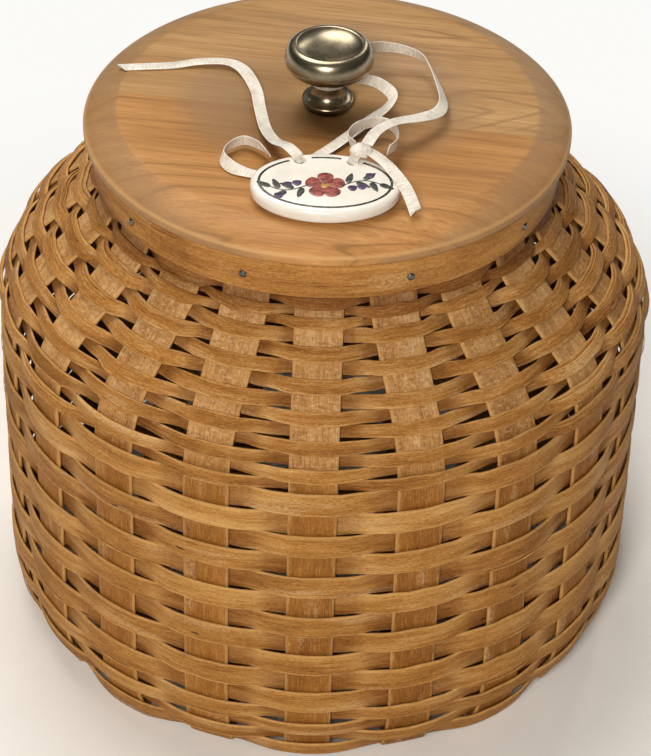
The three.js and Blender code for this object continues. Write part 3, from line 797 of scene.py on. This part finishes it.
def make_rows():
    """The rows of weaver, from the foot up."""
    rows = []
    for row in range(FOOT_ROWS):
        left = (FOOT_ROWS - row) / FOOT_ROWS
        rows.append(Row(FOOT_PITCH, FOOT_SPLINT, -FOOT_FLARE * left ** FOOT_CURVE))
    rows += [Row(BELLY_PITCH, BELLY_SPLINT, BELLY_LEAN)] * BELLY_ROWS
    for row in range(1, TURN_ROWS + 1):
        lean = BELLY_LEAN + (SHOULDER_LEAN - BELLY_LEAN) * row / TURN_ROWS
        rows.append(Row(TURN_PITCH, TURN_SPLINT, lean))
    rows += [Row(SHOULDER_PITCH, SHOULDER_SPLINT, SHOULDER_LEAN)] * SHOULDER_ROWS
    for row in range(1, NECK_ROWS + 1):
        rows.append(Row(NECK_PITCH, NECK_SPLINT, SHOULDER_LEAN - NECK_STEP * row))
    return rows


class Wall:
    """The wall's middle line with its turns eased, by length along it from the foot."""

    def __init__(self):
        self.rows = make_rows()
        ends = np.cumsum([0.0] + [row.pitch for row in self.rows])
        self.middles = (ends[:-1] + ends[1:]) / 2
        self.lengths = np.linspace(0, ends[-1], int(ends[-1] / LINE_STEP))
        self.leans = np.interp(self.lengths, self.middles, [row.lean for row in self.rows])
        flare_out = sum(row.pitch * sin(-row.lean) for row in self.rows[:FOOT_ROWS])
        foot_radius = BELLY_RADIUS - flare_out
        self.bend_radius = foot_radius - FOOT_BEND * cos(FOOT_FLARE)
        self.layer = UPRIGHT_THICK / 2 + FIT / 2
        self.base_height = self.layer + UPRIGHT_THICK / 2
        foot_height = self.base_height + FOOT_BEND * (1 - sin(FOOT_FLARE))
        step = self.lengths[1]
        half = (self.leans[1:] + self.leans[:-1]) / 2
        self.radii = foot_radius - np.concatenate([[0], np.cumsum(np.sin(half) * step)])
        self.heights = foot_height + np.concatenate([[0], np.cumsum(np.cos(half) * step)])

    def at(self, length):
        return [float(np.interp(length, self.lengths, row)) for row in (self.radii, self.heights, self.leans)]


WALL = Wall()


class WeaverPath:
    """Where one row of splint runs: a soft wave over one upright and under the next, a little uneven as
    handwork is. Shares count uprights from one at the back that the row passes under."""

    def __init__(self, number):
        self.hand = hand = random.Random(WEAVER_SEED + number)
        self.row = WALL.rows[number]
        self.radius, self.height, self.lean = WALL.at(WALL.middles[number])
        upper, neck = number >= FIRST_UPPER_ROW, number >= FIRST_NECK_ROW
        loose, stray, gap = UPPER_UNEVEN if upper else LOWER_UNEVEN
        self.lifts = [hand.uniform(1.0, loose) for _ in range(UPRIGHTS)]
        self.rises = [hand.uniform(-stray, stray) for _ in range(UPRIGHTS)]
        self.tilts = [radians(hand.uniform(-ROW_TILT, ROW_TILT)) for _ in range(UPRIGHTS)]
        self.ripples = [(hand.randint(*RIPPLE_COUNTS), hand.uniform(0, LAST_PHASE)) for _ in range(RIPPLES)]
        self.splint = self.row.splint * hand.uniform(*SPLINT_SPREAD)
        self.drop = FOOT_DROP if number == 0 else 0.0
        self.slim = min(self.splint, self.row.pitch - gap) + self.drop
        self.lift = UPRIGHT_THICK / 2 + FIT + WEAVER_THICK / 2
        self.firm = 1.0 + FIRMNESS * max(0.0, 1 - self.radius / BELLY_RADIUS)
        self.tuck = 0.0 if neck or number == 0 else SHOULDER_TUCK if upper else TUCK
        self.front_tuck = 0.0 if upper else FRONT_TUCK
        self.sway = SHOULDER_SWAY * max(0.0, self.lean) / SHOULDER_LEAN
        half = UPRIGHTS // 2
        self.start = half + (half + number + 1) % 2

    def eased(self, values, share):
        """A value that goes smoothly from the one at an upright to the one at the next."""
        here = int(share // 1)
        part = smooth(share - here)
        return values[here % UPRIGHTS] * (1 - part) + values[(here + 1) % UPRIGHTS] * part

    def at(self, share):
        azimuth = (self.start + share) * UPRIGHT_STEP
        wave = -tanh(self.firm * cos(pi * share)) / tanh(self.firm)
        out, across = wall_axes(azimuth, self.lean)
        ripple = sum(RIPPLE_SIZE * sin(count * azimuth + phase) for count, phase in self.ripples)
        slip = self.eased(self.rises, share) + ripple - self.drop / 2 - self.sway * wave * abs(wave)
        centre = polar(azimuth, self.radius, self.height)
        centre += out * (self.lift * wave * self.eased(self.lifts, share)) + across * slip
        twist = Matrix.Rotation(self.eased(self.tilts, share), 3, tangent(azimuth))
        aside = self.front_tuck + (1 - self.front_tuck) * smooth(FRONT_SPAN - cos(azimuth))
        width = self.slim + (self.splint + self.drop - self.slim) * wave * wave
        width += self.tuck * aside * max(0.0, -wave - TUCK_START) + 2 * ripple * sin(3 * azimuth)
        return Station(centre, twist @ across, twist @ out, width, SPLINT_BOW, 0.5 + 0.5 * wave)


def sliver(path, share, side):
    """Stations of a thin split that has lifted off a strip's edge where it passes over an upright."""
    reach = path.hand.uniform(*SLIVER_REACH)
    rise = path.hand.uniform(*SLIVER_RISE) * MM
    for step in range(17):
        part = step / 8 - 1
        at = path.at(share + part * reach)
        arch = 1 - part * part
        centre = at.centre + at.across * side * (at.width / 2 - SLIVER_THICK + 0.5 * rise * arch)
        centre += at.out * (WEAVER_THICK / 2 + rise * arch - 0.1 * MM)
        yield Station(centre, at.across, at.out, (0.35 + 0.5 * arch) * MM)


def lap(path, first, hand):
    """Stations of a second strip on a row, where its end is laid over its start. It begins and ends behind
    an upright, and slips sideways where it passes over the ones between."""
    slip = hand.choice((-1, 1)) * hand.uniform(*LAP_SLIP) * MM
    width = path.splint * hand.uniform(*LAP_WIDTH)
    for step in range(4 * WEAVER_STEPS + 1):
        at = path.at(first + step / WEAVER_STEPS)
        wave = 2 * at.stand - 1
        rise = (WEAVER_THICK + LAP_THICK) / 2 + 0.05 * MM - LAP_SINK * max(0.0, -wave)
        centre = at.centre + at.out * rise + at.across * slip * smooth(0.5 + wave)
        yield Station(centre, at.across, at.out, width, at.bow, at.stand)


def weaver(number, finish):
    """One row of splint, with a few split edges and, on the shoulder, its lapped ends."""
    name = f"weaver_{number + 1:02d}"
    path = WeaverPath(number)
    shares = [step / WEAVER_STEPS for step in range(UPRIGHTS * WEAVER_STEPS)]
    skin = Skin()
    skin.strip(map(path.at, shares), WEAVER_THICK, True, 7.3 * number)
    for over in range(1, UPRIGHTS, 2):
        if path.hand.random() < SLIVER_CHANCE:
            skin.strip(sliver(path, over, path.hand.choice((-1, 1))), SLIVER_THICK, False, 3.1 * over)
    hand = random.Random(LAP_SEED + number)
    if FIRST_UPPER_ROW <= number < FIRST_NECK_ROW:
        for first, chance in LAP_CHANCES.items():
            if hand.random() < chance:
                skin.strip(lap(path, first, hand), LAP_THICK, False, 5.7 * number + first)
    skin.piece(name + "_splint", finish, "basket", "weaver_wood", name)


def upright_line():
    """(radius, height, lean) up one upright, from the edge of the base to its end in the rim."""
    line = []
    for step in range(FOOT_STEPS):
        lean = -pi / 2 + (step / FOOT_STEPS) * (pi / 2 - FOOT_FLARE)
        line.append((WALL.bend_radius + FOOT_BEND * cos(lean),
                     WALL.base_height + FOOT_BEND * (1 + sin(lean)), lean))
    line += [WALL.at(length) for length in np.linspace(0, WALL.lengths[-1], WALL_STEPS)]
    radius, height, lean = line[-1]
    for step in range(1, RIM_STEPS + 1):
        left = lean * (1 - step / RIM_STEPS)
        line.append((radius - RIM_BEND * (cos(left) - cos(lean)),
                     height + RIM_BEND * (sin(lean) - sin(left)), left))
    line.append((line[-1][0], RIM_TOP - UPRIGHT_SHORT, 0.0))
    return line


def upright_stations(azimuth, side):
    for radius, height, lean in upright_line():
        centre, out = polar(azimuth, radius, height), wall_axes(azimuth, lean)[0]
        bow = (UPRIGHT_WIDTH / 2) ** 2 * max(0.0, cos(lean)) / (2 * radius)
        yield Station(centre, tangent(azimuth) * side, out, UPRIGHT_WIDTH, bow)


def spoke_turn(number):
    return (number - (SPOKES_EACH_WAY - 1) / 2) * UPRIGHT_STEP


def spoke_offset(number):
    return WALL.bend_radius * sin(spoke_turn(number))


def base_stations(offset, along, across, first_level):
    """The flat run under the basket, above one spoke that it crosses and below the next."""
    crossings = [spoke_offset(n) for n in range(SPOKES_EACH_WAY)]
    levels = [first_level * (-1) ** n * WALL.layer for n in range(SPOKES_EACH_WAY)]
    places = []
    for n, crossing in enumerate(crossings):
        places += [(crossing + share * CROSSING_REACH, levels[n]) for share in (-1.0, 0.0, 1.0)]
        if n + 1 < SPOKES_EACH_WAY:
            start, end = crossing + CROSSING_REACH, crossings[n + 1] - CROSSING_REACH
            for step in range(1, CROSSING_STEPS):
                part = step / CROSSING_STEPS
                level = levels[n] + (levels[n + 1] - levels[n]) * smooth(part)
                places.append((start + (end - start) * part, level))
    for far, level in places:
        centre = across * offset + along * far + UP * (WALL.base_height + level)
        yield Station(centre, across, -UP, UPRIGHT_WIDTH)


def spoke(name, number, heading, first_level, finish):
    """A whole spoke: down the wall that heading faces, across the base and up the opposite wall."""
    turn = spoke_turn(number)
    stations = [*upright_stations(heading + turn, 1)][::-1]
    stations += base_stations(spoke_offset(number), -radial(heading), tangent(heading), first_level)
    stations += upright_stations(heading + pi - turn, -1)
    skin = Skin()
    skin.strip(stations, UPRIGHT_THICK, start=sum(map(ord, name)) * 0.71)
    skin.piece(name + "_splint", finish, "basket", "upright_wood", name)


# Rim

def rim_band(node, outside, foot, radii, finish):
    """A bent band of the rim. foot holds the corners under its outer face."""
    inside = outside - RIM_THICK
    corners = [(inside, RIM_BOTTOM), *foot, (outside, RIM_TOP), (inside, RIM_TOP)]
    outline = rounded(corners, [radius * MM for radius in radii])
    band = lathe(outline, facets=160, grain_radius=outside)
    band.piece(node + "_band", finish, "basket", "rim_wood", node)


def rim(finish):
    """An inner band, and an outer one with a thin set-back lip under it."""
    lip, lip_top = RIM_OUTSIDE - RIM_LIP_DEPTH, RIM_BOTTOM + RIM_LIP_HEIGHT
    foot = [(lip, RIM_BOTTOM), (lip, lip_top), (RIM_OUTSIDE, lip_top)]
    rim_band("outer_rim", RIM_OUTSIDE, foot, (0.5, 0.5, 0.15, 0.6, 0.7, 0.5), finish)
    rim_band("inner_rim", INNER_RIM_OUTSIDE, [(INNER_RIM_OUTSIDE, RIM_BOTTOM)], (0.6, 0.6, 0.6, 0.6), finish)


def tack(number, azimuth, finish):
    """A small domed tack, its head pressed a little into the band."""
    outline = [(0.0, -TACK_SUNK), (TACK_RADIUS, -TACK_SUNK), (TACK_RADIUS, TACK_SHANK)]
    for step in range(1, 7):
        part = step / 6 * pi / 2
        outline.append((TACK_RADIUS * cos(part), TACK_SHANK + (TACK_HEIGHT - TACK_SHANK) * sin(part)))
    made = lathe(outline, facets=20).piece(f"tack_{number:02d}", finish, "basket", "screw_steel")
    lay = Matrix((tangent(azimuth), UP, radial(azimuth))).transposed().to_4x4()
    place = polar(azimuth, RIM_OUTSIDE, RIM_BOTTOM + TACK_ABOVE_RIM_BOTTOM)
    made.data.transform(Matrix.Translation(place) @ lay)


# Lid and knob

def lid_board(finish):
    """The turned board: a rebate below, a rounded edge and a long soft slope to the flat top."""
    low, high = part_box("lid_board")
    radius, seat = high.x, high.z - LID_THICK
    rebate = INNER_RIM_OUTSIDE - RIM_THICK - REBATE_PLAY
    nose = (radius - LID_NOSE, high.z - (LID_BEVEL - LID_NOSE) * tan(LID_SLOPE))
    outline = rounded([(SCREW_BORE, low.z), (rebate, low.z), (rebate, seat)], [0, 0.8 * MM, 0.4 * MM])
    outline.append((radius - LID_EDGE_ROUND, seat))
    outline += arc(outline[-1], (radius, seat), (radius, seat + LID_EDGE_ROUND), 6)
    outline.append((radius, seat + LID_EDGE))
    outline += arc(outline[-1], nose, (radius - LID_BEVEL, high.z), 18)
    outline += [(radius - LID_BEVEL - 0.6 * MM, high.z), (SCREW_BORE, high.z)]
    lathe(outline, facets=192).piece("lid_board_turned", finish, "lid", "lid_wood", "lid_board")


def knob(finish):
    """The knob: a flared foot, a waisted neck and a bowl with a dished top."""
    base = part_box("knob")[0].z
    foot_corner = KNOB_FOOT_RADIUS - KNOB_EDGE_ROUND
    head_corner = KNOB_HEAD_RADIUS - KNOB_EDGE_ROUND / 2
    dish_bottom = KNOB_HEIGHT - KNOB_DISH_DEPTH
    outline = [(0.0, SCREW_BORE_TOP), (SCREW_BORE, SCREW_BORE_TOP), (SCREW_BORE, 0.0), (foot_corner, 0.0)]
    outline += arc(outline[-1], (KNOB_FOOT_RADIUS, 0.0), (KNOB_FOOT_RADIUS, KNOB_FOOT_EDGE), 8)
    outline += arc(outline[-1], (KNOB_NECK_RADIUS, KNOB_FOOT_EDGE), (KNOB_NECK_RADIUS, KNOB_NECK_BOTTOM), 14)
    start = acos(KNOB_NECK_RADIUS / KNOB_HEAD_RADIUS)
    for step in range(25):
        part = start * (1 - step / 24)
        drop = KNOB_BOWL_DEPTH * sin(part)
        outline.append((KNOB_HEAD_RADIUS * cos(part), KNOB_HEAD_MIDDLE - drop))
    outline += arc(outline[-1], (head_corner, KNOB_HEIGHT), (KNOB_DISH_RADIUS, KNOB_HEIGHT), 16)
    outline += arc(outline[-1], (KNOB_DISH_RADIUS - KNOB_DISH_BLEND, dish_bottom), (0.0, dish_bottom), 16)
    turned = lathe([(r, base + z) for r, z in outline], facets=96)
    turned.piece("knob_turned", finish, "lid", "knob_nickel", "knob")


# Tag and its painted face

def tag_place():
    rest = FIT + (TAG_DEPTH / 2 - TAG_ROUND) * sin(TAG_TILT)
    return Matrix.Translation((*TAG_CENTRE, LID_TOP + rest)) @ Matrix.Rotation(TAG_TILT, 4, "X")


def oval(wide, deep, angles, height=0.0):
    return [Vector((wide * cos(angle), deep * sin(angle), height)) for angle in angles]


def drill_hole(piece, place):
    mesh = bpy.data.meshes.new("drill")
    work = bmesh.new()
    bmesh.ops.create_cone(work, cap_ends=True, segments=24, radius1=TAG_HOLE_RADIUS, radius2=TAG_HOLE_RADIUS,
                          depth=3 * TAG_THICK)
    bmesh.ops.translate(work, verts=work.verts, vec=place)
    work.to_mesh(mesh)
    work.free()
    cutter = add_object("drill", mesh)
    cut = piece.modifiers.new("hole", "BOOLEAN")
    cut.object, cut.operation, cut.solver = cutter, "DIFFERENCE", "EXACT"
    bpy.context.view_layer.update()
    shaped = bpy.data.meshes.new_from_object(piece.evaluated_get(bpy.context.evaluated_depsgraph_get()))
    piece.modifiers.clear()
    piece.data = shaped
    bpy.data.objects.remove(cutter)


def tag(finish):
    """The glazed oval with its pillowed edge and two tie holes."""
    wide, deep, steps = TAG_WIDTH / 2, TAG_DEPTH / 2, 8
    rings = []
    for base, first in ((TAG_ROUND, -steps), (TAG_THICK - TAG_ROUND, 0)):
        for step in range(first, first + steps + 1):
            part = step / steps * pi / 2
            inset = TAG_ROUND * (1 - cos(part))
            height = base + TAG_ROUND * sin(part)
            rings.append(oval(wide - inset, deep - inset, turns(OVAL_STEPS), height))
    skin = Skin()
    skin.run(rings)
    piece = skin.piece("tag_glazed", finish, "tag", "tag_glaze", "tag")
    for side in (-1, 1):
        drill_hole(piece, (side * TAG_HOLE_SPACING / 2, deep - TAG_HOLE_INSET, TAG_THICK / 2))
    piece.data.transform(tag_place())
    piece.data.set_sharp_from_angle(angle=radians(50))


def blob(outline, rise):
    """Rings for a painted shape: its outline pressed into the glaze and a low crown over it."""
    centre = sum(outline, Vector()) / len(outline)
    yield [p - UP * PAINT_SUNK for p in outline]
    for share, level in ((1.0, 0.0), (0.8, 0.7), (0.4, 1.0), (0.05, 1.05)):
        yield [centre.lerp(p, share) + UP * level * rise for p in outline]


def brush_line(points, width):
    """Rings for a thin painted line through points on the tag's face."""
    low, high = UP * PAINT_SUNK, UP * PAINT_RISE
    for p, along in zip(points, directions(points)):
        side = UP.cross(along) * width / 2
        yield [p - side - low, p + side - low, p + side + high, p - side + high]


def petal(place, turn, length, plump):
    """An egg-shaped outline, its blunt end first, about a place."""
    lay = Matrix.Translation((place.x, place.y, 0)) @ Matrix.Rotation(turn, 4, "Z")
    made = []
    for part in turns(28):
        along, side = cos(part), sin(part)
        made.append(lay @ Vector((along * length / 2, side * length * plump / 2 * (1 - 0.35 * along), 0)))
    return made


def painted(name, shapes, finish):
    """One piece made of several painted shapes, on the tag's face."""
    skin = Skin()
    for rings in shapes:
        skin.run(rings)
    piece = skin.piece(name, finish, "tag", "tag_glaze")
    piece.data.transform(tag_place() @ Matrix.Translation((0, 0, TAG_THICK)))


def twig(side):
    """A curved stem on one side of the flower, with its leaves and buds."""
    stem, last = [], 24
    for step in range(last + 1):
        t = step / last
        stem.append(Vector((side * (6 + 13.5 * t), FLOWER_Y + side * 3.4 * sin(2.6 * t), 0)) * MM)
    leaves, buds = [brush_line(stem, 0.5 * MM)], []
    for step, lean in ((5, 1), (10, -1), (15, 1), (20, -1), (last, 0)):
        along = stem[min(step + 1, last)] - stem[step - 1]
        turn = atan2(along.y, along.x)
        place = stem[step] + Matrix.Rotation(turn + lean * 1.1, 3, "Z") @ Vector((2.9 * MM, 0, 0))
        leaves.append(blob(petal(place, turn + lean * 0.8, 5.8 * MM, 0.42), PAINT_RISE))
    for step, lean in ((7, -1), (13, -1), (18, 1)):
        place = stem[step] + Vector((0, lean * side * 3.3 * MM, 0))
        buds.append(blob(petal(place, 0.6, 3.5 * MM, 0.95), 0.04 * MM))
    return leaves, buds


def tag_paint():
    """A border line, broken at the tie holes, round a plain flower between two leafy twigs."""
    ink = paint("tag_ink", "#20261f", "#3d4438")
    wide, deep = TAG_WIDTH / 2 - BORDER_INSET, TAG_DEPTH / 2 - BORDER_INSET
    border = []
    for start, end in BORDER_ARCS:
        angles = np.linspace(radians(start), radians(end), OVAL_STEPS + 1)
        border.append(brush_line(oval(wide, deep, angles), 0.95 * MM))
    painted("tag_border", border, ink)
    middle = Vector((0, FLOWER_Y * MM, 0))
    petals = []
    for n in range(5):
        turn = radians(90 + 72 * n)
        place = middle + tangent(turn) * 4.0 * MM
        petals.append(blob(petal(place, turn + pi, 6.6 * MM, 0.86), PAINT_RISE))
    painted("tag_petals", petals, paint("tag_red", "#6d2322", "#a8503f"))
    heart = blob(petal(middle, 0, 3.4 * MM, 1.0), 0.06 * MM)
    painted("tag_flower_heart", [heart], paint("tag_gold", "#8a5a22", "#c89a4a"))
    left_leaves, left_buds = twig(-1)
    right_leaves, right_buds = twig(1)
    painted("tag_twigs", left_leaves + right_leaves, ink)
    painted("tag_buds", left_buds + right_buds, paint("tag_purple", "#2c1838", "#4f3163"))


# Stage and light

def area_light(name, place, target, size, power, colour):
    lamp = bpy.data.lights.new(name, "AREA")
    lamp.shape = "ELLIPSE"
    lamp.size, lamp.size_y = size
    lamp.energy, lamp.color = power, colour
    aim = (Vector(target) - Vector(place)).to_track_quat("-Z", "Y")
    add_object(name, lamp).matrix_world = Matrix.Translation(place) @ aim.to_matrix().to_4x4()


def make_world():
    """A soft sky, bright overhead and dim near the floor."""
    world = bpy.data.worlds.new("studio")
    world.use_nodes = True
    tree = world.node_tree
    sky = tree.nodes["Background"]
    sky.inputs["Strength"].default_value = 0.12
    split = tree.nodes.new("ShaderNodeSeparateXYZ")
    ramp = tree.nodes.new("ShaderNodeValToRGB")
    tree.links.new(tree.nodes.new("ShaderNodeTexCoord").outputs["Generated"], split.inputs[0])
    tree.links.new(split.outputs[2], ramp.inputs["Fac"])
    tree.links.new(ramp.outputs["Color"], sky.inputs["Color"])
    low, high = ramp.color_ramp.elements
    low.color = (0.30, 0.27, 0.23, 1)
    high.color = (1.0, 0.97, 0.92, 1)
    high.position = 0.65
    bpy.context.scene.world = world


def make_stage():
    mesh = bpy.data.meshes.new("floor")
    corners = [(x * FLOOR_HALF, y * FLOOR_HALF, 0) for x, y in ((-1, -1), (1, -1), (1, 1), (-1, 1))]
    mesh.from_pydata(corners, [], [(0, 1, 2, 3)])
    mesh.materials.append(pale_floor())
    add_object("floor", mesh)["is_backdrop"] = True
    make_world()
    area_light("key", place=(-0.24, 0.45, 1.28), target=(0, 0, 0.18), size=(0.8, 0.8), power=10.6,
               colour=(1.0, 0.96, 0.9))
    area_light("front", place=(-0.18, -1.14, 0.95), target=(0, 0, 0.1), size=(0.5, 0.5), power=15,
               colour=(1.0, 0.95, 0.88))
    area_light("window", place=(0.42, 1.0, 0.85), target=(0, 0, 0.25), size=(0.14, 0.8), power=1.6,
               colour=(1.0, 0.97, 0.92))
    bpy.context.scene.view_settings.view_transform = "Standard"


def build():
    make_camera()
    ribbon_finish = satin()
    for name in RIBBON_ROUTES:
        ribbon(name, ribbon_finish, "tag" if name == "ribbon_right_tail" else "lid")
    ribbon_knot(ribbon_finish)
    weaver_finish = splint_wood("weaver_splint", ("#703f10", "#ab722e", "#d8a863"),
                                ("#714213", "#a76f2f", "#d7aa6d"), fuzz=0.5, knots=True)
    for number in range(len(WALL.rows)):
        weaver(number, weaver_finish)
    upright_finish = splint_wood("upright_splint", ("#744616", "#965f22", "#b17a3a"),
                                 ("#8c5e30", "#bd8b51", "#dfb782"), fuzz=0.35, cracks=0.6)
    for number in range(SPOKES_EACH_WAY):
        spoke(f"spoke_lengthwise_{number + 1}", number, 0, (-1) ** number, upright_finish)
        mirrored = (-1) ** (SPOKES_EACH_WAY - 1 - number)
        spoke(f"spoke_crosswise_{number + 1}", number, -pi / 2, -mirrored, upright_finish)
    rim(splint_wood("rim_bent_wood", ("#7d4c20", "#b07a3c", "#d29d5a"), fuzz=0.15, shaded=0.0))
    steel = polished_metal("tack_steel", "#7b7a76", "#4c4b49", 0.2, 0.25)
    for number in range(UPRIGHTS // 2):
        drift = TACK_DRIFT * cos(TACK_DRIFT_RATE * number)
        tack(number + 1, (2 * number + 1) * UPRIGHT_STEP + drift, steel)
    lid_board(board_wood())
    knob(polished_metal("knob_nickel", "#a1967f", "#857b65", 0.23, 0.12))
    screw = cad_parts["knob_screw"]
    screw.data.materials.clear()
    screw.data.materials.append(steel)
    tag(glaze())
    tag_paint()
    make_stage()


build()
boxes = {"cad": CAD_BOX, "visual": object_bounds()}
{name: [[float(v) for v in corner] for corner in box] for name, box in boxes.items()}
